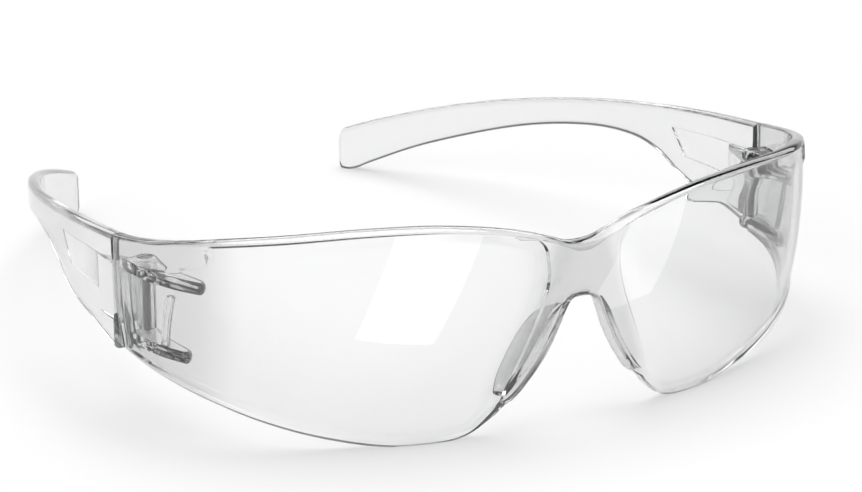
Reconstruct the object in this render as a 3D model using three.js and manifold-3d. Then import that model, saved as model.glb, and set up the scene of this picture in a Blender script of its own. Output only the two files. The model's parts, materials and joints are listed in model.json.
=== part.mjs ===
// Frameless wraparound safety glasses: a one-piece clear shield with its brow rib, bridge, nose wings
// and hinge lugs moulded in, two clear temples, and a steel screw through each hinge.
// Millimetres. While it is built, x = 0 is the mirror plane, +X the wearer's left, y = 0 close to the
// hinge screws, +Y towards the ears, and z = 0 the surface that the glasses stand on. The finished
// group is then moved along y, so that its origin is the middle of its footprint.
import * as THREE from "three";
import { mergeVertices } from "three/addons/utils/BufferGeometryUtils.js";
import Module from "manifold-3d";

const wasm = await Module();
wasm.setup();

// ---- Driving dimensions ----
const HALF_WIDTH = 72.5; // of the shield, at the parting line with the temples
const SHIELD_DEPTH = 48.2; // from the parting line forward to the bridge
const PLAN_POWER = 2.25; // of the superellipse that the shield follows, seen from above
const PARTING_Y = 3; // where the shield ends and a temple begins
const BULGE = { z: 30, radius: 103 }; // the shield also curves from brow to cheek
const WALL = { lens: 2.2, bridge: 4, side: 2.3, rib: 0.6, ribHeight: 3 };
const GAP = 0.3; // between pieces that face each other
const RUNNING = 0.05; // between a screw and its bore
const HINGE = { x: 66.9, y: -0.8 }; // axis of a hinge screw
const LUG = { thick: 2.4, radius: 2.4, rear: 87.5, inWall: 1 };
const LUG_EDGE = [[14, 6.2], [8, 5.6], [4, 4.9], [1.2, 3.9], [0, 2.1], [0.3, 1]]; // degrees, depth
const UPPER_LUG = { z: 29.4, front: 63.6 }; // underside, and degrees round the plan curve
const LOWER_LUG = { z: 15.2, front: 68.4 };
const KNUCKLE = { radius: 1.6, rootY: 12, flank: 7 };
const SCREW = { radius: 0.75, headRadius: 1.3, headHeight: 0.8, slot: 0.35 };
const WALL_BLEND = { nose: 1.5, side: [60, 68], rib: 1.2 }; // where one thickness turns into another
const WING = {
  thick: 1.3, least: 0.9, reach: 2.6, flare: 0.3, drop: 0.15, rootDepth: 2.2,
  shoulder: { top: 0.35, rise: 0.5, over: 0.2 },
  arch: { from: 0.04, to: 0.9, fullness: 0.7 }, // stretch of a sine that gives the crescent
};
const WING_ROOT = [24.6, 22, 19, 16, 13, 10.2, 8.6]; // heights along the edge beside the nose
const TEMPLE = { hingeThick: 3, tipThick: 2.4, cornerRadius: 1.6, edgeRounding: 0.55, edgePower: 8 };
const SIDES = 20; // facets round a screw or a bore
const SCREW_TOP = UPPER_LUG.z + LUG.thick; // its head lies flush in the upper lug
const HEAD_SEAT = SCREW_TOP - SCREW.headHeight;

// Upper and lower edges of the shield: degrees round the plan curve from the mirror plane, and height.
// The lower edge starts under the bridge and runs down the side of the nose to the cheek.
const TOP_EDGE = [
  [0, 36.6], [1.5, 36.9], [4, 38.3], [9, 40.4], [15, 41.9], [23, 42.9], [34, 42.9], [47, 41.8],
  [60, 40.3], [75, 38], [90, 35.6],
];
const BOTTOM_EDGE = [
  [0, 25.8], [1.1, 25.5], [1.8, 24.2], [2.9, 20.5], [4.5, 15.9], [6.5, 11.5], [8.4, 8.2],
  [10.1, 6.7], [11.7, 4.2], [15, 1], [20, -0.1], [27, -0.1], [34, 1], [43, 3], [53, 5.6],
  [64, 8.5], [76, 10.9], [90, 12.8],
];
// Half width of the nose part, from brow to cheek: inside it the shield is as thick as the bridge.
const NOSE_CONTOUR = [
  [13, 40], [8.4, 37.5], [7.4, 34], [7.4, 30], [8.6, 25.5], [10.6, 20.5], [13.2, 14.5], [15.6, 9],
];
// Temple: Bezier points of its upper edge from hinge to tip, and the height of its lower edge at
// fractions of its length.
const TEMPLE_TOP = [[72.5, 3, 35.6], [73, 55, 29.6], [57.6, 92, 22.5], [34, 118, 9.2]];
const TEMPLE_BOTTOM = [
  [0, 12.8], [0.09, 15], [0.17, 16.2], [0.22, 18], [0.27, 20.8], [0.34, 22.3], [0.45, 21.3],
  [0.61, 16.9], [0.81, 8.6], [0.93, 2.3], [0.97, 0], [1, -0.4],
];

// ---- Curves and helpers ----
const { clamp, degToRad, lerp, smoothstep } = THREE.MathUtils;
const flat = (points) => new THREE.SplineCurve(points.map(([a, b]) => new THREE.Vector2(a, b)));
const topEdge = flat(TOP_EDGE);
const bottomEdge = flat(BOTTOM_EDGE);
const noseContour = flat(NOSE_CONTOUR);
const templeBottom = flat(TEMPLE_BOTTOM);
const templeTop = new THREE.CubicBezierCurve3(...TEMPLE_TOP.map((p) => new THREE.Vector3(...p)));
const templeLength = templeTop.getLength();

// First coordinate of a curve where its second one is b, or the other way round.
function lookUp(curve, given, wanted, value) {
  const rising = curve.getPoint(1)[given] > curve.getPoint(0)[given];
  let [low, high] = [0, 1];
  for (let i = 0; i < 24; i += 1) {
    const middle = (low + high) / 2;
    if (curve.getPoint(middle)[given] < value === rising) low = middle;
    else high = middle;
  }
  return curve.getPoint((low + high) / 2)[wanted];
}

// The plan curve on the +X side, and its outward normal, at so many degrees from the mirror plane.
function planPoint(degrees) {
  const angle = degToRad(clamp(degrees, 0.01, 89.99));
  const power = 2 / PLAN_POWER;
  return new THREE.Vector2(
    HALF_WIDTH * Math.sin(angle) ** power,
    PARTING_Y - SHIELD_DEPTH * Math.cos(angle) ** power,
  );
}

function planNormal(degrees) {
  const step = 0.05;
  const at = clamp(degrees, 0, 90 - step);
  const along = planPoint(at + step).sub(planPoint(at));
  return at < 0.5 ? new THREE.Vector2(0, -1) : new THREE.Vector2(along.y, -along.x).normalize();
}

// A point so deep behind the outer face of the shield.
function onShield(degrees, z, depth) {
  const sag = (z - BULGE.z) ** 2 / (2 * BULGE.radius);
  const p = planPoint(degrees).addScaledVector(planNormal(degrees), -sag - depth);
  return new THREE.Vector3(p.x, p.y, z);
}

// Bridge, brow rib and sides are heavier than the lens between them.
function shieldWall(degrees, z, belowTop) {
  const outsideNose = planPoint(degrees).x - lookUp(noseContour, "y", "x", z);
  const bridge = 1 - smoothstep(outsideNose, -WALL_BLEND.nose, WALL_BLEND.nose);
  const side = smoothstep(degrees, ...WALL_BLEND.side);
  const ribHere = 1 - smoothstep(belowTop, WALL_BLEND.rib, WALL.ribHeight);
  const rib = WALL.rib * ribHere * (1 - side) * (1 - bridge);
  return lerp(lerp(WALL.lens, WALL.bridge, bridge), WALL.side, side) + rib;
}

// A box of unit size, cut into cells and bent by a map of (u, v, w), each of them from 0 to 1.
function bentBox(cells, map) {
  const geometry = new THREE.BoxGeometry(1, 1, 1, ...cells);
  const position = geometry.getAttribute("position");
  for (let i = 0; i < position.count; i += 1) {
    const p = map(position.getX(i) + 0.5, position.getY(i) + 0.5, position.getZ(i) + 0.5);
    position.setXYZ(i, p.x, p.y, p.z);
  }
  return geometry;
}

// A three.js geometry as a solid that can be joined and cut, and back.
function solid(geometry) {
  for (const name of ["normal", "uv"]) geometry.deleteAttribute(name);
  const merged = mergeVertices(geometry, 1e-4);
  return new wasm.Manifold(new wasm.Mesh({
    numProp: 3,
    vertProperties: new Float32Array(merged.getAttribute("position").array),
    triVerts: new Uint32Array(merged.index.array),
  }));
}

function geometryOf(body) {
  const mesh = body.getMesh();
  const geometry = new THREE.BufferGeometry();
  geometry.setAttribute("position", new THREE.BufferAttribute(new Float32Array(mesh.vertProperties), 3));
  geometry.setIndex(new THREE.BufferAttribute(new Uint32Array(mesh.triVerts), 1));
  geometry.computeVertexNormals();
  return geometry;
}

// A prism between two heights, with its outline in x and y.
function prism(shape, from, to) {
  const settings = { depth: to - from, bevelEnabled: false, curveSegments: SIDES / 2 };
  return solid(new THREE.ExtrudeGeometry(shape, settings).translate(0, 0, from));
}

function rod(radius, from, to) {
  const geometry = new THREE.CylinderGeometry(radius, radius, to - from, SIDES);
  return solid(geometry.rotateX(Math.PI / 2).translate(HINGE.x, HINGE.y, (from + to) / 2));
}

const hingeBore = (from, to) => rod(SCREW.radius + RUNNING, from, to);
const mirrored = (body) => body.mirror([1, 0, 0]);

// What stands below z = 0 is cut off, which leaves the flats that the glasses rest on.
function standing(body) {
  const ground = solid(new THREE.BoxGeometry(400, 400, 20).translate(0, 0, -10));
  return body.subtract(ground);
}

// ---- Shield ----
function shieldShell() {
  return solid(bentBox([60, 10, 1], (u, v, w) => {
    const run = Math.abs(2 * u - 1);
    const rise = (1 - Math.cos(Math.PI * v)) / 2;
    const top = topEdge.getPointAt(run);
    const bottom = bottomEdge.getPointAt(run);
    const degrees = lerp(bottom.x, top.x, rise);
    const z = lerp(bottom.y, top.y, rise);
    const p = onShield(degrees, z, (1 - w) * shieldWall(degrees, z, top.y - z));
    p.x = run === 0 ? 0 : p.x * Math.sign(u - 0.5);
    return p;
  }));
}

// A crescent that runs back from the edge beside the nose and flares out to lie on it.
function noseWing() {
  const root = new THREE.CatmullRomCurve3(WING_ROOT.map((z) => {
    const degrees = lookUp(bottomEdge, "y", "x", z);
    return onShield(degrees, z, WING.rootDepth);
  }));
  return solid(bentBox([14, 5, 1], (u, v, w) => {
    const p = root.getPoint(u);
    const crescent = Math.sin(Math.PI * lerp(WING.arch.from, WING.arch.to, u)) ** WING.arch.fullness;
    const reach = v * (WING.least + WING.reach * crescent);
    const shoulder = WING.shoulder.top + WING.shoulder.rise * smoothstep(u, 0, WING.shoulder.over);
    p.x += shoulder + w * WING.thick + WING.flare * reach * lerp(0.4, 1, v);
    p.y += reach;
    p.z -= WING.drop * reach;
    return p;
  }));
}

// A shelf on the inside of the shield that holds one end of the hinge screw. It runs forward beside
// the wall and ends in a rounded nose.
function lug({ z, front }) {
  const middle = z + LUG.thick / 2;
  const inside = (degrees, depth) => {
    const p = onShield(degrees, middle, depth);
    return new THREE.Vector2(p.x, p.y);
  };
  const steps = 8;
  const shape = new THREE.Shape();
  shape.absarc(HINGE.x, HINGE.y, LUG.radius, Math.PI / 2, Math.PI, false);
  shape.splineThru(LUG_EDGE.map(([behind, depth]) => inside(front + behind, depth)));
  for (let i = 0; i <= steps; i += 1) {
    const p = inside(lerp(front + 1, LUG.rear, i / steps), LUG.inWall);
    shape.lineTo(p.x, p.y);
  }
  return prism(shape, z, z + LUG.thick);
}

function shield() {
  const side = noseWing().add(lug(LOWER_LUG)).add(lug(UPPER_LUG));
  const joined = shieldShell().add(side).add(mirrored(side));
  const counterbore = rod(SCREW.headRadius + RUNNING, HEAD_SEAT - RUNNING, SCREW_TOP + 1);
  const bore = hingeBore(LOWER_LUG.z - 1, SCREW_TOP).add(counterbore);
  return standing(joined.subtract(bore).subtract(mirrored(bore)));
}

// ---- Temple, on the +X side ----
function templeArm() {
  return solid(bentBox([36, 6, 2], (u, v, w) => {
    const run = lerp(GAP / templeLength, 1, u);
    const p = templeTop.getPointAt(run);
    const along = templeTop.getTangentAt(run);
    const inward = new THREE.Vector3(-along.y, along.x, 0).normalize();
    const toTip = clamp(1 - ((1 - run) * templeLength) / TEMPLE.cornerRadius, 0, 1);
    const rounding = TEMPLE.cornerRadius * (1 - Math.sqrt(1 - toTip ** 2));
    const across = (1 - Math.cos(Math.PI * v)) / 2;
    const bottom = lookUp(templeBottom, "x", "y", run);
    p.z = lerp(bottom, p.z - rounding, across);
    const thick = lerp(TEMPLE.hingeThick, TEMPLE.tipThick, run);
    const slim = 1 - TEMPLE.edgeRounding * Math.abs(2 * across - 1) ** TEMPLE.edgePower;
    return p.addScaledVector(inward, thick * (0.5 + (0.5 - w) * slim));
  }));
}

// The barrel that turns on the screw, and the web that joins it to the inside of the temple.
function knuckle() {
  const low = LOWER_LUG.z + LUG.thick + GAP;
  const high = UPPER_LUG.z - GAP;
  const inArm = HALF_WIDTH - TEMPLE.hingeThick / 2;
  const outer = HALF_WIDTH - TEMPLE.hingeThick;
  const shape = new THREE.Shape();
  shape.absarc(HINGE.x, HINGE.y, KNUCKLE.radius, 0, Math.PI, true);
  shape.quadraticCurveTo(HINGE.x - KNUCKLE.radius, KNUCKLE.flank, outer, KNUCKLE.rootY);
  shape.lineTo(inArm, KNUCKLE.rootY);
  shape.lineTo(inArm, PARTING_Y + 2 * GAP);
  shape.lineTo(HINGE.x + KNUCKLE.radius, PARTING_Y + GAP);
  return prism(shape, low, high).subtract(hingeBore(low - 1, high + 1));
}

const temple = () => standing(templeArm().add(knuckle()));

// ---- Hinge screw ----
function hingeScrew() {
  const shank = rod(SCREW.radius, LOWER_LUG.z + GAP, SCREW_TOP);
  const head = rod(SCREW.headRadius, HEAD_SEAT, SCREW_TOP);
  const slot = new THREE.BoxGeometry(4 * SCREW.headRadius, SCREW.slot, SCREW.headHeight);
  return shank.add(head).subtract(solid(slot.translate(HINGE.x, HINGE.y, SCREW_TOP)));
}

// ---- Assembly ----
const clear = () => new THREE.MeshStandardMaterial({ color: 0xf2f4f5, roughness: 0.04, metalness: 0 });
const frosted = () => new THREE.MeshStandardMaterial({ color: 0xe6e8e9, roughness: 0.16, metalness: 0 });
const steel = () => new THREE.MeshStandardMaterial({ color: 0x6e7073, roughness: 0.35, metalness: 1 });

const group = new THREE.Group();
function place(name, body, material) {
  const mesh = new THREE.Mesh(geometryOf(body), material());
  mesh.name = name;
  group.add(mesh);
}

place("lens_shield", shield(), clear);
place("left_temple", temple(), frosted);
place("right_temple", mirrored(temple()), frosted);
place("left_hinge_screw", hingeScrew(), steel);
place("right_hinge_screw", mirrored(hingeScrew()), steel);

const box = new THREE.Box3().setFromObject(group);
group.position.y = -(box.min.y + box.max.y) / 2;

export default group;
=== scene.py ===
"""Frameless wraparound safety glasses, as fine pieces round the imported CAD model.

Lengths are in millimetres until a mesh is made from them. x = 0 is the mirror plane, +X is the wearer's
left, +Y points towards the ears, and the glasses stand on z = 0. Places come from the CAD nodes' boxes
and from the hinge axes; the outlines below are the CAD part's own.
"""
import json
import math

import bmesh
import bpy
import numpy as np
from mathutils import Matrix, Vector


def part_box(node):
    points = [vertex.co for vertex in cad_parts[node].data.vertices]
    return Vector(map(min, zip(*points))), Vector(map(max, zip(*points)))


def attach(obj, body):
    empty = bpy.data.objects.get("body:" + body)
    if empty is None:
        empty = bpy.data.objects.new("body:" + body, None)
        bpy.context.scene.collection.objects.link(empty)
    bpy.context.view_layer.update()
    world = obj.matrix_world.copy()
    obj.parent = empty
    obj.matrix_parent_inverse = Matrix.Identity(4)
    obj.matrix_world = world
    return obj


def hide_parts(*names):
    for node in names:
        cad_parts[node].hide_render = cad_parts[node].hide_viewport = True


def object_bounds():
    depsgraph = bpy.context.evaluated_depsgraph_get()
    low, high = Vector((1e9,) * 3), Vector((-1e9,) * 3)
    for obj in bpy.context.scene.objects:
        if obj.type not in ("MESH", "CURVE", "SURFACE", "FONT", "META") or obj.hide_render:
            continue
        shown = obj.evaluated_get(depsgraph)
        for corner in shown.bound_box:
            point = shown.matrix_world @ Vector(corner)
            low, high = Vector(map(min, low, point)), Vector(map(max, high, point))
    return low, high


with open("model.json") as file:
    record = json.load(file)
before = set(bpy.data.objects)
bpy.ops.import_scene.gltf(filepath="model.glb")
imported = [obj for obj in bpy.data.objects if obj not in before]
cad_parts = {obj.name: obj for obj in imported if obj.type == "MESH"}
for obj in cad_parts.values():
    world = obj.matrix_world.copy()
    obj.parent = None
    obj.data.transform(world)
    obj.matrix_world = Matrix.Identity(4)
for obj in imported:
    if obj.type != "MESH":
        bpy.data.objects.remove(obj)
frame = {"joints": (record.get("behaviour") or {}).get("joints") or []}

cad_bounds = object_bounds()
MM = 0.001
GROUND_HALF, GROUND_DEPTH = 200, 5
CORNERS = [(-1, -1), (1, -1), (1, 1), (-1, 1)]  # of a square

# ---- Dimensions taken from the frame ----
shield_low, shield_high = (np.array(corner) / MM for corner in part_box("lens_shield"))
screw_low, screw_high = (np.array(corner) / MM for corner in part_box("left_hinge_screw"))
HALF_WIDTH = shield_high[0]
PARTING_Y = shield_high[1]
SHIELD_DEPTH = PARTING_Y - shield_low[1]
HINGE_X, HINGE_Y = np.array(frame["joints"][0]["pos_m"][:2]) / MM

# ---- Shield ----
PLAN_POWER = 2.25  # of the superellipse that the shield follows, seen from above
BULGE_Z, BULGE_RADIUS = 30, 103  # its curve from brow to cheek
LENS_WALL, BRIDGE_WALL, SIDE_WALL = 2.2, 4, 2.3
RIB, RIB_FULL, RIB_END = 0.3, 1.2, 6  # the brow's extra thickness, and where it starts to fade and ends
EDGE_RADIUS, ARCH_RADIUS, END_RADIUS = 0.4, 1.85, 0.25  # lower edge, arch over the nose, parting line
BRIDGE_TOP_RADIUS, BRIDGE_BACK_RADIUS, BROW_BACK_RADIUS, SIDE_TOP_RADIUS = 1.6, 1.5, 0.25, 0.6
# Outsides of the brow, as distance down from its top and depth, and of the lower edge, as height and depth.
BROW_BEVEL = 0.7
BROW_PROFILE = [(BROW_BEVEL, 0), (0.42, 0.2), (0.2, 0.5), (0.07, 0.9), (0, 1.4)]
FOOT_HEIGHT = 0.95
FOOT_PROFILE = [(0, 0.95), (0.05, 0.78), (0.2, 0.6), (0.9, 0.04)]
# The lens face lies a little behind the brow: depth and width of the step, and radius of its corner.
WINDOW_RECESS, WINDOW_STEP, WINDOW_CORNER = 0.42, 0.5, 1.8
SIDE_LINE, SIDE_TURN = 63.8, 5  # degrees round the plan curve where the step turns down, and how fast
# Stretches over which one form becomes another. In millimetres:
BROW_BLEND = (5, 13)  # round bridge to bevelled brow, along the top edge
ARCH_BLEND = (3, 7)  # arch over the nose to the sides of the nose, along the lower edge
BRIDGE_BLEND = (-7, 6)  # thick bridge to thin lens, from the nose contour outwards
STEP_FADE = (2.5, 6)  # the step beside the side line, below the crease of the brow
RECESS_FADE = (2, 9)  # no recess to full recess, from the parting line
# and in degrees round the plan curve:
FOOT_BLEND = (8, 13)  # sides of the nose to bevelled lower edge
SIDE_BLEND = (60, 68)  # lens to side wall

# Columns of the shield's mesh stand COLUMN_GAP apart, and closer where the surface bends.
COLUMN_GAP = 1.0
EVEN_FROM_NOSE, EVEN_TO_STEP, EVEN_PAST_STEP, EVEN_TO_END = 2.2, 3, 2.4, 1.2
NOSE_COLUMNS, COLUMN_POINTS, OUTER_ROWS, INNER_ROWS = 22, 160, 40, 44
NOSE_SIDE = [1.6, 1.1, 0.7, 0.4, 0.2]  # from the nose contour towards the mirror plane
LENS_SIDE = [0, 0.25, WINDOW_STEP, 0.6, 0.75, 1, 1.5]  # and away from it
BESIDE_STEP = np.array([2.6, 2.25, 1.9, 1.6, 1.3, 1, 0.8, 0.65, WINDOW_STEP, 0.25])  # into the window
PAST_STEP = [0, 0.15, 0.3, 0.6, 1, 1.6]
END_SIDE = np.array([0.9, 0.5, 0.25, 0.1, 0])  # from the parting line

# Outlines: degrees round the plan curve from the mirror plane, and height.
TOP_EDGE = [
    (0, 36.6), (1.5, 36.9), (4, 38.3), (9, 40.4), (15, 41.9), (23, 42.9), (34, 42.9), (47, 41.8),
    (60, 40.3), (75, 38), (90, 35.6),
]
BOTTOM_EDGE = [
    (0, 25.8), (1.1, 25.5), (1.8, 24.2), (2.9, 20.5), (4.5, 15.9), (6.5, 11.5), (8.4, 8.2),
    (10.1, 6.7), (11.7, 4.2), (15, 1), (20, -0.1), (27, -0.1), (34, 1), (43, 3), (53, 5.6), (64, 8.5),
    (76, 10.9), (90, 12.8),
]
# Half width of the nose part and height, from its foot up to the brow.
NOSE_CONTOUR = [(15.6, 6), (15.5, 9), (13.2, 14.5), (10.6, 20.5), (8.6, 25.5), (7.4, 30), (7.3, 33.5),
                (7.8, 36.4), (9, 38), (11, 39)]

# ---- Lugs, wings and mould rib, all part of the shield ----
LUG_THICK, LUG_UPPER, LUG_LOWER, LUG_RADIUS, LUG_EDGE = 2.4, 29.4, 15.2, 2.4, 1.05
UPPER_FRONT, LOWER_FRONT, LUG_REAR = 63.6, 68.4, 87.5  # degrees round the plan curve
# The free edge of a lug, from the screw to the wall: degrees behind its front, and depth.
LUG_EDGE_LINE = [(14, 6.2), (8, 5.6), (4, 4.9), (1.2, 4.1), (0, 2.6), (0.2, 0.7)]
LUG_IN_WALL = 0.7
BORE_RADIUS, CLEARANCE = 0.8, 0.05
WING_TOP, WING_FOOT = 25, 8.2  # heights
WING_THICK, WING_REACH, WING_FLARE, WING_DROP = 1.6, 4.2, 0.3, 0.15
WING_IN_WALL, WING_LEAST, WING_FLARE_START = 1.0, 0.4, 0.4
WING_ARC, WING_FULLNESS = (0.03, 0.96), 0.6  # its reach follows this stretch of a sine's arch, to a power
WING_INSET, WING_SHOULDER, WING_SHOULDER_END = 0.35, 0.5, 0.2  # shoulder: the last as a share of its length
WING_TIP_SHARE = 0.75  # of its thickness that is left at the tip
# The mould rib's middle line: degrees round the plan curve, and height.
MOULD_RIB = [(75.6, 17), (74.2, 22.5), (72.4, 28.2)]
MOULD_RIB_RADIUS = 1

# ---- Temples ----
TEMPLE_TOP = [(0, 0, 0), (0.5, 52, -6), (-14.9, 89, -13.1), (-38.5, 115, -26.4)]  # from its upper corner
TEMPLE_BOTTOM = [
    (0, 12.8), (0.09, 15), (0.17, 16.2), (0.22, 18), (0.27, 20.8), (0.34, 22.3), (0.45, 21.3),
    (0.61, 16.9), (0.81, 8.6), (0.93, 2.3), (0.97, 0), (1, -0.4),
]
TEMPLE_CORNER = (72.5, 35.6)  # x and z of the upper corner at the parting line
HINGE_THICK, TIP_THICK = 3, 2.4
TEMPLE_ROUNDING, MOST_ROUNDING = 1.12, 1 / 2.05  # radius of its edges, and the largest share of thickness
TEMPLE_POINTS, TANGENT_STEP = 400, 0.002
TIP_CORNER, TIP_LOWER_SHARE = 1.6, 0.8  # radius of the upper corner, and the lower one's share of it
START_RADIUS, TIP_RADIUS = 0.2, 0.6  # rims of the two end faces
END_STATIONS = np.array([0, 0.08, 0.2, 0.4, 0.75])  # sections near each end
EVEN_STATIONS, EVEN_FROM = 130, 0.012  # the others, and the share of its length left at each end
KNUCKLE_RADIUS, KNUCKLE_ROOT, KNUCKLE_FLANK, KNUCKLE_EDGE = 1.6, 9, 4, 0.2
GAP = 0.3
PANEL_DEPTH = 0.5
# Corners of the shallow panel on the inside: behind the parting line, and height.
INNER_PANEL = [(2.8, 29.7), (15, 28.9), (28.6, 27.6), (24.2, 22.2), (3, 22.3)]

# ---- Hinge screw ----
THREAD_PITCH, THREAD_DEPTH, THREAD_STEPS, SCREW_SIDES = 0.4, 0.17, 8, 32
POINT_SHARE, POINT_HEIGHT = 0.5, 0.6  # share of its radius at the end, and height to gain a whole radius
HEAD_HEIGHT, HEAD_BEVEL, SLOT_WIDTH, SLOT_LENGTH = 0.8, 0.15, 0.35, 6

# ---- Border of the lens windows, as the shield's material sees it, for painted shade and more haze ----
BORDER_HALF, BORDER_HEIGHT, BORDER_SPREAD = 7.3, 33, 0.34  # half width at a height, and its growth below it
BORDER_FADE = (-2, 0.4)  # across the bridge's edge
SIDE_BORDER = (60, 66)  # from the mirror plane


# ---- Curves ----
def spline(points, steps=24):
    """A smooth curve through the points, as a dense polyline."""
    p = np.array(points, float)
    before, after = np.vstack([p[:1], p[:-2]]), np.vstack([p[2:], p[-1:]])
    start, end = p[:-1], p[1:]
    v0, v1 = (end - before) / 2, (after - start) / 2
    t = np.linspace(0, 1, steps, endpoint=False)[:, None, None]
    cubic = (2 * start - 2 * end + v0 + v1) * t**3 + (3 * end - 3 * start - 2 * v0 - v1) * t**2
    inside = cubic + v0 * t + start
    return np.vstack([inside.transpose(1, 0, 2).reshape(-1, p.shape[1]), p[-1:]])


def lengths(line):
    """Distance run along a polyline, at each of its points."""
    return np.concatenate([[0], np.cumsum(np.linalg.norm(np.diff(line, axis=0), axis=1))])


def along(line, at):
    """Points of a polyline at these fractions of its length."""
    run = lengths(line)
    wanted = np.asarray(at) * run[-1]
    return np.stack([np.interp(wanted, run, axis) for axis in line.T], -1)


def smooth(value, low, high):
    """0 below low, 1 above high, and a smooth rise between them."""
    t = np.clip((np.asarray(value, float) - low) / (high - low), 0, 1)
    return t * t * (3 - 2 * t)


def mix(a, b, share):
    return a + (b - a) * share


def drawn_in(radius, distance):
    """How far a round edge of this radius has drawn in, at a distance from where it ends."""
    return radius - math.sqrt(max(0, radius**2 - max(0, radius - distance) ** 2))


# ---- The shield's surface ----
def plan_point(angle):
    """Places on the plan curve in x and y, at these angles of its superellipse."""
    power = 2 / PLAN_POWER
    x = HALF_WIDTH * np.sin(angle) ** power
    y = PARTING_Y - SHIELD_DEPTH * np.cos(angle) ** power
    return np.stack([x, y], -1)


QUARTER_TURN = np.radians(np.linspace(0.005, 89.995, 4001))
PLAN = plan_point(QUARTER_TURN)
PLAN_RUN = lengths(PLAN)


def run_at(degrees):
    """Distance round the plan curve from the mirror plane."""
    return np.interp(np.radians(degrees), QUARTER_TURN, PLAN_RUN)


def run_at_width(x):
    return np.interp(x, PLAN[:, 0], PLAN_RUN)


def on_shield(run, z, depth):
    """Points at a distance round the plan curve, a height and a depth behind the outer face."""
    step = 0.01
    at = np.clip(run, step, PLAN_RUN[-1] - step)
    point = np.stack([np.interp(run, PLAN_RUN, axis) for axis in PLAN.T], -1)
    ahead = np.stack([np.interp(at + step, PLAN_RUN, axis) for axis in PLAN.T], -1)
    behind = np.stack([np.interp(at - step, PLAN_RUN, axis) for axis in PLAN.T], -1)
    tangent = (ahead - behind) / np.linalg.norm(ahead - behind, axis=-1, keepdims=True)
    outward = np.stack([tangent[..., 1], -tangent[..., 0]], -1)
    sag = (z - BULGE_Z) ** 2 / (2 * BULGE_RADIUS)
    flat = point - outward * (sag + depth)[..., None]
    flat[..., 0] = np.where(run <= 0, 0, np.maximum(flat[..., 0], 0))
    return np.concatenate([flat, np.asarray(z, float)[..., None]], -1)


def developed(outline):
    """An outline given in degrees, as distance round the plan curve and height."""
    line = spline(outline)
    return np.stack([run_at(line[:, 0]), line[:, 1]], -1)


top_line = developed(TOP_EDGE)
bottom_line = developed(BOTTOM_EDGE)
contour_line = spline(NOSE_CONTOUR)
contour_line = np.stack([run_at_width(contour_line[:, 0]), contour_line[:, 1]], -1)


def part_of(line, start, end):
    """The stretch of a polyline between two places along x."""
    inside = line[(line[:, 0] > start) & (line[:, 0] < end)]
    ends = [(x, np.interp(x, line[:, 0], line[:, 1])) for x in (start, end)]
    return np.vstack([ends[:1], inside, ends[1:]])


def coons(left, right, bottom, top, across, up):
    """A patch between four edges, each a polyline run from its own start."""
    left, right = along(left, up)[None], along(right, up)[None]
    bottom, top = along(bottom, across)[:, None], along(top, across)[:, None]
    s, v = np.asarray(across)[:, None, None], np.asarray(up)[None, :, None]
    corners = mix(mix(left[:, :1], right[:, :1], s), mix(left[:, -1:], right[:, -1:], s), v)
    return mix(bottom, top, v) + mix(left, right, s) - corners


def shield_columns():
    """Lines from the lower edge up to the brow's crease, as (run, z), from mirror plane to parting line.

    Each comes with its distance from the nose contour, from the side line and from the parting line."""
    crease = top_line - (0, BROW_BEVEL)
    foot, head = contour_line[0, 0], contour_line[-1, 0]
    contour = contour_line.copy()
    contour[0, 1] = np.interp(foot, bottom_line[:, 0], bottom_line[:, 1])
    contour[-1, 1] = np.interp(head, crease[:, 0], crease[:, 1])
    end = PLAN_RUN[-1]
    middle = np.array([(0, bottom_line[0, 1]), (0, crease[0, 1])])
    up = np.linspace(0, 1, COLUMN_POINTS)

    nose_top = part_of(crease, 0, head)
    nose_bottom = part_of(bottom_line, 0, foot)
    nose_width = (lengths(nose_top)[-1] + lengths(nose_bottom)[-1]) / 2
    even = np.linspace(nose_width - COLUMN_GAP / 2, NOSE_SIDE[0], NOSE_COLUMNS)
    nose_away = np.array([nose_width, *even, *NOSE_SIDE[1:]])
    nose = coons(middle, contour, nose_bottom, nose_top, 1 - nose_away / nose_width, up)

    lens_top = part_of(crease, head, end)
    lens_bottom = part_of(bottom_line, foot, end)
    width = lengths(lens_top)[-1]
    side = run_at(SIDE_LINE) - head
    at = np.concatenate([
        LENS_SIDE,
        np.arange(EVEN_FROM_NOSE, side - EVEN_TO_STEP, COLUMN_GAP),
        side + np.array([*-BESIDE_STEP, *PAST_STEP]),
        np.arange(side + EVEN_PAST_STEP, width - EVEN_TO_END, COLUMN_GAP),
        width - END_SIDE,
    ])
    last = np.array([(end, bottom_line[-1, 1]), (end, crease[-1, 1])])
    lens = coons(contour, last, lens_bottom, lens_top, at / width, up)
    from_contour = np.concatenate([-nose_away, at])
    from_side = side - from_contour
    return np.concatenate([nose, lens]), from_contour, from_side, width - from_contour


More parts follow.
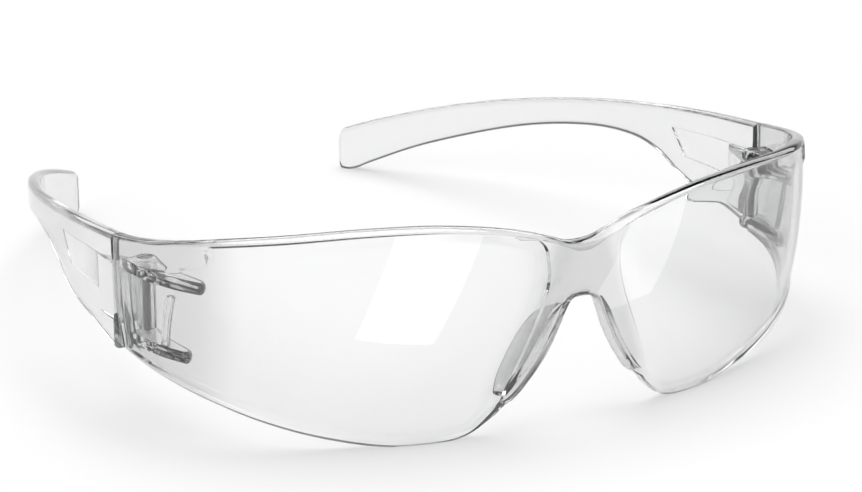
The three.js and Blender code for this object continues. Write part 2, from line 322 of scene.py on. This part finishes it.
def shield_half():
    """Closed sections of the shield, one for each column on the +X side."""
    columns, from_contour, from_side, from_end = shield_columns()
    quarter = np.linspace(0, math.pi / 2, 5)
    sections = []
    for line, window_x, side_x, end_x in zip(columns, from_contour, from_side, from_end):
        top = line[-1] + (0, BROW_BEVEL)
        line = np.vstack([line, top])
        run = lengths(line)
        length = run[-1]
        lensward = smooth(line[-1, 0], *BROW_BLEND)
        sideward = smooth(line[-1, 0], *run_at((SIDE_LINE, SIDE_LINE + SIDE_TURN)))
        footward = smooth(line[0, 0], *run_at(FOOT_BLEND))
        lower = mix(ARCH_RADIUS, EDGE_RADIUS, smooth(line[0, 0], *ARCH_BLEND))
        inset = drawn_in(END_RADIUS, end_x)

        # The loop goes up the outer face, over the top, down the inner face and round the lower edge. Its
        # points are distance up the column, 0 on the outer face or 1 on the inner one, and added depth.
        near_top = length - BROW_BEVEL - BESIDE_STEP
        even_rows = np.linspace(mix(lower, FOOT_HEIGHT, footward), near_top[0], OUTER_ROWS)
        outer_up = [(r, 0, 0) for r in np.concatenate([even_rows[:-1], near_top])]
        round_top = np.stack([1 - np.sin(quarter), 1 - np.cos(quarter)], -1)
        brow = mix(BRIDGE_TOP_RADIUS * round_top, np.array(BROW_PROFILE), lensward)
        brow = mix(brow, SIDE_TOP_RADIUS * round_top, sideward)
        over = [(length - t, 0, d) for t, d in brow]
        inner = mix(BRIDGE_BACK_RADIUS, BROW_BACK_RADIUS, lensward)
        back = [(length - inner * (1 - np.cos(a)), 1, -inner * (1 - np.sin(a))) for a in quarter]
        inner_rows = np.linspace(lower, length - inner, INNER_ROWS)[1:-1]
        inner_down = [(r, 1, 0) for r in inner_rows[::-1]]
        under = [(lower * (1 - np.sin(a)), 1, -lower * (1 - np.cos(a))) for a in quarter]
        arch = lower * np.stack([1 - np.cos(quarter[:-1]), 1 - np.sin(quarter[:-1])], -1)
        front = [(t, 0, d) for t, d in mix(arch, np.array(FOOT_PROFILE), footward)]
        loop = np.array(outer_up + over + back + inner_down + under + front)

        at = np.clip(loop[:, 0], inset, length - inset)
        place = np.stack([np.interp(at, run, axis) for axis in line.T], -1)
        contour = np.interp(place[:, 1], contour_line[:, 1], contour_line[:, 0])
        bridge = 1 - smooth(place[:, 0] - contour, *BRIDGE_BLEND)
        side = smooth(place[:, 0], *run_at(SIDE_BLEND))
        rib = RIB * (1 - smooth(length - at, RIB_FULL, RIB_END)) * (1 - side) * (1 - bridge)
        wall = mix(mix(LENS_WALL, BRIDGE_WALL, bridge), SIDE_WALL, side) + rib

        # How far each point is inside the window's edge, and so how deep it lies. Below the corner, the
        # edge beside the side line fades away.
        below = length - BROW_BEVEL - at
        fading = smooth(below, *STEP_FADE)
        beyond = np.where(side_x < 0, mix(side_x, WINDOW_CORNER, fading), side_x)
        beyond = mix(beyond, WINDOW_CORNER, fading) if side_x < WINDOW_CORNER else beyond
        dx = np.minimum(window_x, beyond)
        corner = WINDOW_CORNER
        rounded = corner - np.hypot(np.maximum(corner - dx, 0), np.maximum(corner - below, 0))
        inside = np.where((dx < corner) & (below < corner), rounded, np.minimum(dx, below))
        fade_out = smooth(end_x, *RECESS_FADE)
        above_foot = smooth(at, FOOT_HEIGHT, 3 * FOOT_HEIGHT)
        recess = WINDOW_RECESS * np.clip(inside / WINDOW_STEP, 0, 1) * fade_out * above_foot

        depth = np.where(loop[:, 1] > 0, wall + loop[:, 2] - inset, loop[:, 2] + recess + inset)
        depth = np.where((loop[:, 1] == 0) & (loop[:, 2] > 0), loop[:, 2] + inset, depth)
        sections.append(on_shield(place[:, 0], place[:, 1], depth))
    return np.array(sections)


# ---- Meshes ----
def new_piece(name, vertices, faces):
    mesh = bpy.data.meshes.new(name)
    mesh.from_pydata((np.asarray(vertices) * MM).tolist(), [], [list(map(int, f)) for f in faces])
    build = bmesh.new()
    build.from_mesh(mesh)
    bmesh.ops.recalc_face_normals(build, faces=build.faces)
    build.to_mesh(mesh)
    build.free()
    piece = bpy.data.objects.new(name, mesh)
    bpy.context.scene.collection.objects.link(piece)
    return piece


def lofted(name, sections):
    """A closed skin over closed sections, with a flat face at each end."""
    count, corners = sections.shape[:2]
    ring = np.arange(corners)
    turned = np.roll(ring, -1)
    faces = []
    for i in range(count - 1):
        a, b = i * corners, (i + 1) * corners
        faces += np.stack([a + ring, a + turned, b + turned, b + ring], -1).tolist()
    faces += [ring.tolist(), ((count - 1) * corners + ring).tolist()]
    return new_piece(name, sections.reshape(-1, 3), faces)


def combined(piece, others, operation):
    """Joins other closed pieces to a piece, or cuts them out of it."""
    for other in others:
        step = piece.modifiers.new("combine", "BOOLEAN")
        step.object = other
        step.operation = operation
        step.solver = "MANIFOLD"
    bpy.context.view_layer.update()
    made = piece.evaluated_get(bpy.context.evaluated_depsgraph_get())
    mesh = bpy.data.meshes.new_from_object(made)
    piece.modifiers.clear()
    piece.data = mesh
    for other in others:
        bpy.data.objects.remove(other)
    return piece


def mirrored(piece, name):
    """A copy on the other side of the mirror plane."""
    mesh = piece.data.copy()
    copy = bpy.data.objects.new(name, mesh)
    for vertex in mesh.vertices:
        vertex.co.x = -vertex.co.x
    mesh.flip_normals()
    bpy.context.scene.collection.objects.link(copy)
    return copy


def rounded_prism(name, outline, low, high, radius, steps=3):
    """A prism with an outline in x and y, whose upper and lower rims are rounded."""
    outline = np.asarray(outline, float)
    tangent = np.roll(outline, -1, 0) - np.roll(outline, 1, 0)
    tangent /= np.linalg.norm(tangent, axis=1, keepdims=True)
    inward = np.stack([-tangent[:, 1], tangent[:, 0]], -1)
    turns = np.linspace(0, math.pi / 2, steps + 1)
    rims = [(radius * (1 - math.sin(t)), low + radius * (1 - math.cos(t))) for t in turns]
    rims += [(inset, high + low - z) for inset, z in rims[::-1]]
    sections = [
        np.column_stack([outline + inward * inset, np.full(len(outline), z)]) for inset, z in rims
    ]
    return lofted(name, np.array(sections))


def round_hinge(turn, radius, z):
    """Points about the left hinge's axis at these turns; the radius may be one number or one for each."""
    x, y = HINGE_X + radius * np.cos(turn), HINGE_Y + radius * np.sin(turn)
    return np.stack([x, y, np.full(len(turn), z)], -1)


def lathed(name, profile, sides=48):
    """A body turned about the left hinge's axis, from a profile of radius and height."""
    turn = np.linspace(0, 2 * math.pi, sides, endpoint=False)
    return lofted(name, np.array([round_hinge(turn, r, z) for r, z in profile]))


def slab(name, middle, half, low, high):
    """A block round a place in x and y, which reaches half its size to each side."""
    square = [(middle[0] + x * half[0], middle[1] + y * half[1]) for x, y in CORNERS]
    corners = [(x, y, z) for z in (low, high) for x, y in square]
    sides = [[i, (i + 1) % 4, (i + 1) % 4 + 4, i + 4] for i in range(4)]
    return new_piece(name, corners, [[0, 1, 2, 3], [4, 5, 6, 7]] + sides)


def ground():
    """A block under z = 0, which cuts the flats that the glasses stand on."""
    return slab("ground", (0, 0), (GROUND_HALF, GROUND_HALF), -GROUND_DEPTH, 0)


def arc(centre, radius, start, end, steps=10):
    turn = np.radians(np.linspace(start, end, steps + 1))
    return [(centre[0] + radius * math.cos(t), centre[1] + radius * math.sin(t)) for t in turn]


def bend(start, control, end, steps=8):
    """A quadratic curve between two points of an outline, both left out."""
    t = np.linspace(0, 1, steps + 1)[1:-1, None]
    start, control, end = (np.array(p, float) for p in (start, control, end))
    return [tuple(p) for p in (1 - t) ** 2 * start + 2 * t * (1 - t) * control + t**2 * end]


# ---- Shield ----
def lug(low, front):
    """The shelf that holds one end of a hinge screw, with a rounded nose."""
    def inside(degrees, depth):
        z = np.full(len(degrees), low + LUG_THICK / 2)
        return on_shield(run_at(degrees), z, np.full(len(degrees), depth))[:, :2]

    outline = arc((HINGE_X, HINGE_Y), LUG_RADIUS, 90, 180)
    edge = [inside(np.array([front + behind]), depth)[0] for behind, depth in LUG_EDGE_LINE]
    outline += [tuple(p) for p in spline([outline[-1], *edge], 6)[1:]]
    outline += [tuple(p) for p in inside(np.linspace(front + 1, LUG_REAR, 16), LUG_IN_WALL)]
    return rounded_prism("lug", outline, low, low + LUG_THICK, LUG_EDGE, 5)


def nose_wing():
    """A thin crescent that runs back from the edge beside the nose and flares out to lie on it."""
    heights = np.linspace(WING_TOP, WING_FOOT, 44)
    edge = bottom_line[: np.argmin(bottom_line[:, 1])]
    run = np.interp(heights, edge[::-1, 1], edge[::-1, 0])
    root = on_shield(run, heights, np.full(len(heights), BRIDGE_WALL - WING_IN_WALL))
    half = WING_THICK / 2
    turn = np.linspace(-math.pi / 2, math.pi / 2, 9)[1:-1]
    sections = []
    for i, (x, y, z) in enumerate(root):
        u = i / (len(root) - 1)
        crescent = math.sin(math.pi * mix(*WING_ARC, u)) ** WING_FULLNESS
        reach = WING_LEAST + WING_REACH * crescent
        centre_x = x + WING_INSET + WING_SHOULDER * smooth(u, 0, WING_SHOULDER_END) + half
        back = np.linspace(0, reach - half, 10)
        side = [(b, -half * mix(1, WING_TIP_SHARE, b / WING_REACH)) for b in back]
        tip_half = -side[-1][1]
        tip = [(back[-1] + tip_half * math.cos(t), tip_half * math.sin(t)) for t in turn]
        loop = side + tip + [(b, -h) for b, h in side[::-1]]
        flares = [WING_FLARE * b * mix(WING_FLARE_START, 1, b / reach) for b, h in loop]
        sections.append([
            (centre_x + h + flare, y + b, z - WING_DROP * b) for flare, (b, h) in zip(flares, loop)
        ])
    return lofted("wing", np.array(sections))


def mould_rib():
    """A slender half-round rib on the inside of the side wall, between the lugs."""
    line = spline(MOULD_RIB, 12)
    turn = np.linspace(0, 2 * math.pi, 16, endpoint=False)
    run, z = run_at(line[:, 0]), line[:, 1]
    distance = np.linspace(0, 1, len(line)) * (z[-1] - z[0])
    left = (z[-1] - z[0]) - distance
    radius = MOULD_RIB_RADIUS * np.sqrt(1 - np.clip(1 - left / MOULD_RIB_RADIUS, 0, 0.99) ** 2)
    sections = [
        on_shield(r + size * np.cos(turn), np.full(len(turn), height), SIDE_WALL + size * np.sin(turn))
        for r, height, size in zip(run, z, radius)
    ]
    return lofted("mould_rib", np.array(sections))


def shield():
    half = shield_half()
    other = half[:0:-1] * (-1, 1, 1)
    half[0, :, 0] = 0
    body = lofted("fine_shield", np.concatenate([other, half]))
    left = [lug(LUG_LOWER, LOWER_FRONT), lug(LUG_UPPER, UPPER_FRONT), nose_wing(), mould_rib()]
    body = combined(body, left + [mirrored(piece, "mirrored") for piece in left], "UNION")
    top = LUG_UPPER + LUG_THICK
    seat = top - HEAD_HEIGHT - CLEARANCE
    head = (screw_high[0] - screw_low[0]) / 2 + CLEARANCE
    bore = lathed("bore", [
        (BORE_RADIUS, LUG_LOWER - 1), (BORE_RADIUS, seat), (head, seat), (head, top + 1),
    ])
    return combined(body, [bore, mirrored(bore, "mirrored"), ground()], "DIFFERENCE")


# ---- Temple ----
def temple_line(count):
    """The left temple's upper edge, a cubic curve, as dense points."""
    base = np.array([TEMPLE_CORNER[0], PARTING_Y, TEMPLE_CORNER[1]])
    a, b, c, d = (base + np.array(p) for p in TEMPLE_TOP)
    t = np.linspace(0, 1, count)[:, None]
    return (1 - t) ** 3 * a + 3 * t * (1 - t) ** 2 * b + 3 * t**2 * (1 - t) * c + t**3 * d


def temple_sections():
    """Closed sections of the left temple's arm, from the parting line to the tip."""
    line = temple_line(TEMPLE_POINTS)
    length = lengths(line)[-1]
    ends = END_STATIONS / length
    start = GAP / length
    even = np.linspace(start + EVEN_FROM, 1 - EVEN_FROM, EVEN_STATIONS)
    runs = np.concatenate([start + ends, even, 1 - ends[::-1]])
    bottom_curve = spline(TEMPLE_BOTTOM)
    quarter = np.linspace(0, math.pi / 2, 6)
    sections = []
    for run in runs:
        point = along(line, [run])[0]
        tangent = along(line, [min(run + TANGENT_STEP, 1)])[0] - along(line, [run - TANGENT_STEP])[0]
        inward = np.array([-tangent[1], tangent[0], 0]) / np.linalg.norm(tangent[:2])
        to_tip = (1 - run) * length
        from_start = (run - start) * length
        near = min(to_tip, from_start)
        inset = drawn_in(START_RADIUS if from_start < to_tip else TIP_RADIUS, near)
        cut = drawn_in(TIP_CORNER, to_tip)
        low = np.interp(run, bottom_curve[:, 0], bottom_curve[:, 1]) + inset + TIP_LOWER_SHARE * cut
        high = point[2] - cut - inset
        thick = mix(HINGE_THICK, TIP_THICK, run)
        near_side, far_side = inset, thick - inset
        r = min(TEMPLE_ROUNDING, MOST_ROUNDING * (far_side - near_side))
        face = np.linspace(low + r, high - r, 16)
        loop = [(near_side, z) for z in face]
        loop += [(near_side + r * (1 - np.cos(q)), high - r * (1 - np.sin(q))) for q in quarter[1:]]
        loop += [(far_side - r * (1 - np.sin(q)), high - r * (1 - np.cos(q))) for q in quarter[:-1]]
        loop += [(far_side, z) for z in face[::-1]]
        loop += [(far_side - r * (1 - np.cos(q)), low + r * (1 - np.sin(q))) for q in quarter[1:]]
        loop += [(near_side + r * (1 - np.sin(q)), low + r * (1 - np.cos(q))) for q in quarter[:-1]]
        sections.append([point * (1, 1, 0) + inward * side + (0, 0, z) for side, z in loop])
    return np.array(sections)


def panel_cutter(corners, depth_low, depth_high):
    """A thin block over a panel's outline, between two depths behind the temple's outer face."""
    line = temple_line(TEMPLE_POINTS)
    outline = []
    for i, (y, z) in enumerate(corners):
        following = corners[(i + 1) % len(corners)]
        steps = max(1, round(abs(following[0] - y)))
        shares = [k / steps for k in range(steps)]
        outline += [(mix(y, following[0], s), mix(z, following[1], s)) for s in shares]
    run = line[:, 1] - PARTING_Y
    layers = [
        [(np.interp(y, run, line[:, 0]) - depth, PARTING_Y + y, z) for y, z in outline]
        for depth in (depth_low, depth_high)
    ]
    return lofted("panel", np.array(layers))


def knuckle():
    """The barrel that turns on the screw, and the web that joins it to the inside of the temple."""
    low, high = LUG_LOWER + LUG_THICK + GAP, LUG_UPPER - GAP
    in_arm, outer = HALF_WIDTH - HINGE_THICK / 2, HALF_WIDTH - HINGE_THICK
    outline = [
        (HINGE_X + KNUCKLE_RADIUS, PARTING_Y + GAP), (in_arm, PARTING_Y + 2 * GAP),
        (in_arm, PARTING_Y + KNUCKLE_ROOT), (outer, PARTING_Y + KNUCKLE_ROOT),
    ]
    foot = (HINGE_X - KNUCKLE_RADIUS, HINGE_Y)
    outline += bend(outline[-1], (foot[0], PARTING_Y + KNUCKLE_FLANK), foot, 12)
    outline += arc((HINGE_X, HINGE_Y), KNUCKLE_RADIUS, 180, 360, 24)
    return rounded_prism("knuckle", outline, low, high, KNUCKLE_EDGE)


def temple():
    arm = lofted("fine_left_temple", temple_sections())
    panel = panel_cutter(INNER_PANEL, HINGE_THICK - PANEL_DEPTH, HINGE_THICK + 1)
    arm = combined(arm, [panel], "DIFFERENCE")
    arm = combined(arm, [knuckle()], "UNION")
    bore = lathed("bore", [(BORE_RADIUS, LUG_LOWER), (BORE_RADIUS, LUG_UPPER + LUG_THICK)])
    return combined(arm, [bore, ground()], "DIFFERENCE")


# ---- Screw ----
def hinge_screw():
    """A slotted screw with a real helical thread."""
    low, high = screw_low[2], screw_high[2]
    radius = BORE_RADIUS - CLEARANCE
    head = (screw_high[0] - screw_low[0]) / 2
    seat = high - HEAD_HEIGHT
    turn = np.linspace(0, 2 * math.pi, SCREW_SIDES, endpoint=False)
    sections = []
    for z in np.arange(low, seat, THREAD_PITCH / THREAD_STEPS):
        phase = (z / THREAD_PITCH - turn / (2 * math.pi)) % 1
        taper = min(1, POINT_SHARE + (z - low) / POINT_HEIGHT)
        sections.append(round_hinge(turn, (radius - THREAD_DEPTH * np.abs(2 * phase - 1)) * taper, z))
    rim = [(radius, seat), (head, seat), (head, high - HEAD_BEVEL), (head - HEAD_BEVEL, high)]
    sections += [round_hinge(turn, r, z) for r, z in rim]
    screw = lofted("fine_left_hinge_screw", np.array(sections))
    slot = slab(
        "slot", (HINGE_X, HINGE_Y), (SLOT_LENGTH / 2, SLOT_WIDTH / 2), high - HEAD_HEIGHT / 2, high + 1,
    )
    return combined(screw, [slot], "DIFFERENCE")


# ---- Materials ----
class Material:
    """A node material, with short calls to add nodes and link them."""

    def __init__(self, name):
        self.material = bpy.data.materials.new(name)
        self.material.use_nodes = True
        self.tree = self.material.node_tree
        self.tree.nodes.clear()
        self.output = self.add("ShaderNodeOutputMaterial")

    def add(self, kind, links=(), **values):
        """A new node, with its inputs linked and its settings or inputs given values by name."""
        node = self.tree.nodes.new(kind)
        for key, value in values.items():
            if hasattr(node, key):
                setattr(node, key, value)
            else:
                node.inputs[key.replace("_", " ")].default_value = value
        for socket, source in dict(links).items():
            self.tree.links.new(source, node.inputs[socket])
        return node

    def noise(self, scale, detail=4.0, roughness=0.55):
        where = self.add("ShaderNodeTexCoord").outputs["Object"]
        node = self.add("ShaderNodeTexNoise", {"Vector": where})
        node.inputs["Scale"].default_value = scale
        node.inputs["Detail"].default_value = detail
        node.inputs["Roughness"].default_value = roughness
        return node.outputs["Fac"]

    def ranged(self, source, low, high, to_low, to_high):
        node = self.add("ShaderNodeMapRange", {"Value": source})
        sockets = ("From Min", "From Max", "To Min", "To Max")
        for socket, value in zip(sockets, (low, high, to_low, to_high)):
            node.inputs[socket].default_value = value
        return node.outputs["Result"]

    def maths(self, operation, a, b):
        node = self.add("ShaderNodeMath", operation=operation)
        for index, value in enumerate((a, b)):
            if isinstance(value, (int, float)):
                node.inputs[index].default_value = value
            else:
                self.tree.links.new(value, node.inputs[index])
        return node.outputs[0]

    def border_shade_and_haze(self):
        """1 on the bridge and the side blocks, and 0 in the lens windows between them: where painted shade
        and more haze go.
        """
        where = self.add("ShaderNodeTexCoord").outputs["Object"]
        parts = self.add("ShaderNodeSeparateXYZ", {"Vector": where})
        x = self.maths("ABSOLUTE", parts.outputs["X"], 0)
        lower = self.maths("SUBTRACT", BORDER_HEIGHT * MM, parts.outputs["Z"])
        slope = self.maths("MULTIPLY", lower, BORDER_SPREAD)
        beside = self.maths("SUBTRACT", self.maths("SUBTRACT", x, slope), BORDER_HALF * MM)
        bridge = self.ranged(beside, BORDER_FADE[0] * MM, BORDER_FADE[1] * MM, 1, 0)
        side = self.ranged(x, SIDE_BORDER[0] * MM, SIDE_BORDER[1] * MM, 0, 1)
        return self.maths("MAXIMUM", bridge, side)

    def darkened(self, colour, share, tone):
        """The colour, multiplied by a grey tone where the share is 1.

        Inputs 6 and 7 and output 2 are the mix node's colours."""
        node = self.add("ShaderNodeMix", data_type="RGBA", blend_type="MULTIPLY")
        self.tree.links.new(share, node.inputs["Factor"])
        self.tree.links.new(colour, node.inputs[6])
        node.inputs[7].default_value = (tone, tone, tone, 1)
        return node.outputs[2]

    def ramp(self, source, stops):
        node = self.add("ShaderNodeValToRGB", {"Fac": source})
        while len(node.color_ramp.elements) < len(stops):
            node.color_ramp.elements.new(0.5)
        for element, (at, colour) in zip(node.color_ramp.elements, stops):
            element.position = at
            element.color = (*colour, 1)
        return node.outputs["Color"]

    def bump(self, height, distance, strength=1.0, normal=None):
        node = self.add("ShaderNodeBump", {"Height": height})
        node.inputs["Distance"].default_value = distance
        node.inputs["Strength"].default_value = strength
        if normal is not None:
            self.tree.links.new(normal, node.inputs["Normal"])
        return node.outputs["Normal"]


POLYCARBONATE_IOR = 1.585


def polycarbonate(name, hue, slant_shading, haze, transmission, shade, density, wave, border_shade_and_haze=None):
    """Clear moulded plastic: greyer where it is seen at a slant, a painted shade; faintly hazy where
    hands and edges have rubbed it, with slow flow waves and hairline scratches in its skin.

    A border is darker by its tone, a painted shade, and hazier. Light for shadows passes straight through."""
    m = Material(name)
    slant = m.add("ShaderNodeLayerWeight")
    slant.inputs["Blend"].default_value = 0.35
    # Painted shade: the colour turns greyer where a face is seen at a slant.
    shaded_hue = m.ramp(slant.outputs["Facing"], [(at, tuple(share * c for c in hue)) for at, share in slant_shading])
    if border_shade_and_haze:
        # Painted shade: the bridge and side blocks are darkened by the border's tone, and made hazier.
        shade_and_haze_mask = m.border_shade_and_haze()
        shaded_hue = m.darkened(shaded_hue, shade_and_haze_mask, border_shade_and_haze["tone"])
    smudges = m.noise(90, 3)
    edges = m.ranged(m.add("ShaderNodeNewGeometry").outputs["Pointiness"], 0.53, 0.62, 0, 1)
    worn = m.maths("MULTIPLY", edges, m.noise(700, 2))
    rub = m.maths("MULTIPLY", m.ranged(smudges, 0.45, 0.75, 0, 1), haze[1] - haze[0])
    roughness = m.maths("ADD", m.maths("ADD", rub, haze[0]), m.maths("MULTIPLY", worn, 0.12))
    if border_shade_and_haze:
        roughness = m.maths("ADD", roughness, m.maths("MULTIPLY", shade_and_haze_mask, border_shade_and_haze["haze"]))
    grain = m.add("ShaderNodeTexVoronoi", {"Vector": m.add("ShaderNodeTexCoord").outputs["Object"]})
    grain.feature = "DISTANCE_TO_EDGE"
    grain.inputs["Scale"].default_value = 160
    scratches = m.ranged(grain.outputs["Distance"], 0, 0.004, 1, 0)
    some = m.maths("MULTIPLY", scratches, m.ranged(m.noise(60, 2), 0.62, 0.7, 0, 1))
    normal = m.bump(m.noise(45, 2), wave)
    normal = m.bump(some, 1e-6, 0.3, normal)
    body = m.add(
        "ShaderNodeBsdfPrincipled",
        {"Base Color": shaded_hue, "Roughness": roughness, "Normal": normal},
    )
    body.inputs["Transmission Weight"].default_value = transmission
    body.inputs["IOR"].default_value = POLYCARBONATE_IOR
    through = m.add("ShaderNodeBsdfTransparent")
    through.inputs["Color"].default_value = (*shade, 1)
    rays = m.add("ShaderNodeLightPath")
    both = m.add("ShaderNodeMixShader", {
        0: rays.outputs["Is Shadow Ray"], 1: body.outputs[0], 2: through.outputs[0],
    })
    m.tree.links.new(both.outputs[0], m.output.inputs["Surface"])
    inside = m.add("ShaderNodeVolumeAbsorption")
    inside.inputs["Color"].default_value = (0.55, 0.56, 0.57, 1)
    inside.inputs["Density"].default_value = density
    m.tree.links.new(inside.outputs[0], m.output.inputs["Volume"])
    return m.material


def steel():
    """Dark plain steel, brighter on the crests that have rubbed and darker in the thread's roots, a painted
    shade.
    """
    m = Material("screw_steel")
    # From pointiness: wear on the thread's crests, and painted shade in its roots.
    crest_wear_and_root_shade = m.ranged(m.add("ShaderNodeNewGeometry").outputs["Pointiness"], 0.44, 0.58, 0, 1)
    grime = m.noise(1800, 5)
    tone = m.maths("MULTIPLY", m.maths("ADD", crest_wear_and_root_shade, 0.25), m.ranged(grime, 0.3, 0.7, 0.75, 1))
    colour = m.ramp(tone, [
        (0, (0.006, 0.006, 0.007)), (0.6, (0.03, 0.03, 0.032)), (1, (0.22, 0.22, 0.23)),
    ])
    roughness = m.ranged(grime, 0.3, 0.7, 0.28, 0.5)
    normal = m.bump(m.noise(4000, 3), 4e-6)
    skin = {"Base Color": colour, "Roughness": roughness, "Normal": normal}
    body = m.add("ShaderNodeBsdfPrincipled", skin)
    body.inputs["Metallic"].default_value = 1
    m.tree.links.new(body.outputs[0], m.output.inputs["Surface"])
    return m.material


def floor_white():
    """Matt white paper, with a very faint unevenness."""
    m = Material("floor_white")
    tone = m.ramp(m.noise(3, 2), [(0.3, (0.86, 0.86, 0.86)), (0.7, (0.88, 0.88, 0.88))])
    body = m.add("ShaderNodeBsdfPrincipled", {"Base Color": tone}, Roughness=0.7)
    body.inputs["Specular IOR Level"].default_value = 0.1
    m.tree.links.new(body.outputs[0], m.output.inputs["Surface"])
    return m.material


# ---- Pieces on their bodies ----
SHARP_TURN = 33  # degrees; two faces that turn more than this meet at a sharp edge


def finish_piece(piece, material, body, node):
    piece.data.materials.clear()
    piece.data.materials.append(material)
    piece.data.shade_smooth()
    piece.data.set_sharp_from_angle(angle=math.radians(SHARP_TURN))
    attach(piece, body)
    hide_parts(node)


# Slant shading is painted shade: pairs of slant, from 0 where a face is seen straight on to 1 at its limb,
# and brightness.
CLEAR = polycarbonate(
    "clear_polycarbonate", hue=(0.997, 0.998, 1),
    slant_shading=((0.02, 1), (0.06, 0.96), (0.13, 0.86), (0.4, 0.86), (0.6, 0.76), (0.82, 0.4), (1, 0.2)),
    haze=(0.0, 0.02), transmission=1.0, shade=(0.985, 0.985, 0.987), density=40.0, wave=4e-6,
    # tone is painted shade on the bridge and side blocks; haze is their added roughness.
    border_shade_and_haze={"tone": 0.8, "haze": 0.03},
)
TEMPLE = polycarbonate(
    "temple_polycarbonate", hue=(0.997, 0.998, 1),
    slant_shading=((0.2, 0.95), (0.5, 0.88), (0.75, 0.7), (1, 0.45)),
    haze=(0.04, 0.11), transmission=0.97, shade=(0.93, 0.93, 0.935), density=40.0, wave=1.2e-5,
)
STEEL = steel()

finish_piece(shield(), CLEAR, "shield", "lens_shield")
left_temple = temple()
right_temple = mirrored(left_temple, "fine_right_temple")
left_screw = hinge_screw()
right_screw = mirrored(left_screw, "fine_right_hinge_screw")
for side, arm, screw in (("left", left_temple, left_screw), ("right", right_temple, right_screw)):
    finish_piece(arm, TEMPLE, f"{side}_temple", f"{side}_temple")
    finish_piece(screw, STEEL, "shield", f"{side}_hinge_screw")


# ---- Floor, lights and camera ----
def sheet(name, corners, material):
    """A flat sheet with four corners, which belongs to the studio and not to the glasses."""
    mesh = bpy.data.meshes.new(name)
    mesh.from_pydata([tuple(c) for c in corners], [], [(0, 1, 2, 3)])
    mesh.materials.append(material)
    thing = bpy.data.objects.new(name, mesh)
    bpy.context.scene.collection.objects.link(thing)
    return thing


def only_reflected(thing):
    """Leaves a bright sheet to be seen in reflections only."""
    thing.visible_camera = False
    thing.visible_diffuse = False
    thing.visible_transmission = False
    thing.visible_shadow = False


def glow(name, strength):
    """A sheet's even light."""
    m = Material(name)
    light = m.add("ShaderNodeEmission")
    light.inputs["Strength"].default_value = strength
    m.tree.links.new(light.outputs[0], m.output.inputs["Surface"])
    return m.material


def window_card(name, x, lean, width, low, high):
    """A bright card in front of the lenses, which leans sideways by a share of its height."""
    shift = lean * (high - low)
    corners = [(x, low), (x + width, low), (x + width + shift, high), (x + shift, high)]
    only_reflected(sheet(name, [(cx * MM, CARD_Y * MM, cz * MM) for cx, cz in corners], CARD))


FLOOR_HALF = 6  # this and the panel are in metres
sheet("floor", [(FLOOR_HALF * x, FLOOR_HALF * y, 0) for x, y in CORNERS], floor_white())

CARD = glow("card", 2.5)
CARD_AHEAD = 29.8
CARD_Y = shield_low[1] - CARD_AHEAD
window_card("window_right_lens", x=-56.5, lean=0.42, width=29, low=1, high=38)
window_card("window_left_lens", x=18, lean=0.58, width=28.5, low=3, high=34)

# A bright upright panel behind the glasses, which shows on their upper edges.
PANEL_ENDS, PANEL_LOW, PANEL_HIGH = ((-0.3, 1.3), (1.4, 0.6)), 0.3, 0.75
back_corners = [(*end, PANEL_LOW) for end in PANEL_ENDS] + [(*end, PANEL_HIGH) for end in PANEL_ENDS[::-1]]
only_reflected(sheet("back_panel", back_corners, glow("back", 2.6)))


def distant_light(name, place, spread, power):
    """A light from far off, equally bright all over the floor; its spread in degrees softens shadows."""
    light = bpy.data.lights.new(name, "SUN")
    light.angle = math.radians(spread)
    light.energy = power
    lamp = bpy.data.objects.new(name, light)
    lamp.location = place
    lamp.rotation_euler = (-Vector(place)).to_track_quat("-Z", "Y").to_euler()
    bpy.context.scene.collection.objects.link(lamp)


distant_light("overhead", (0.1, 0.25, 1.3), 60, 3.2)
distant_light("left_fill", (-1.3, -0.4, 0.9), 30, 0.5)

# Bright near the horizon and below it, and dark overhead, so that the edges of clear pieces show.
# Places are the sine of the height above the horizon, with a brightness for each.
SKY = ((0.09, 0.85), (0.19, 0.05))
world = bpy.data.worlds.new("studio")
world.use_nodes = True
sky = world.node_tree.nodes
where = sky.new("ShaderNodeTexCoord")
parts = sky.new("ShaderNodeSeparateXYZ")
tone = sky.new("ShaderNodeValToRGB")
world.node_tree.links.new(where.outputs["Generated"], parts.inputs[0])
world.node_tree.links.new(parts.outputs["Z"], tone.inputs[0])
world.node_tree.links.new(tone.outputs[0], sky["Background"].inputs["Color"])
for element, (at, value) in zip(tone.color_ramp.elements, SKY):
    element.position = at
    element.color = (value, value, value, 1)
bpy.context.scene.world = world

CAMERA_YAW, CAMERA_PITCH, CAMERA_DISTANCE = math.radians(28.78), math.radians(19.29), 0.6524
FOCAL_LENGTH, SENSOR_WIDTH = 133.64, 36
AIM_SHIFT = Vector((8.2, -8.2, -9.5)) * MM  # from the middle of the glasses
AIM = (cad_bounds[0] + cad_bounds[1]) / 2 + AIM_SHIFT
gaze = Vector((
    math.sin(CAMERA_YAW) * math.cos(CAMERA_PITCH),
    math.cos(CAMERA_YAW) * math.cos(CAMERA_PITCH),
    -math.sin(CAMERA_PITCH),
))
camera_data = bpy.data.cameras.new("camera")
camera_data.sensor_width = SENSOR_WIDTH
camera_data.lens = FOCAL_LENGTH
camera = bpy.data.objects.new("camera", camera_data)
camera.location = AIM - gaze * CAMERA_DISTANCE
camera.rotation_euler = gaze.to_track_quat("-Z", "Y").to_euler()
bpy.context.scene.collection.objects.link(camera)
bpy.context.scene.camera = camera

scene = bpy.context.scene
scene.view_settings.view_transform = "Standard"
scene.cycles.max_bounces = 24
scene.cycles.transmission_bounces = 24
scene.cycles.glossy_bounces = 8
scene.cycles.transparent_max_bounces = 16
scene.cycles.caustics_reflective = False
scene.cycles.caustics_refractive = False
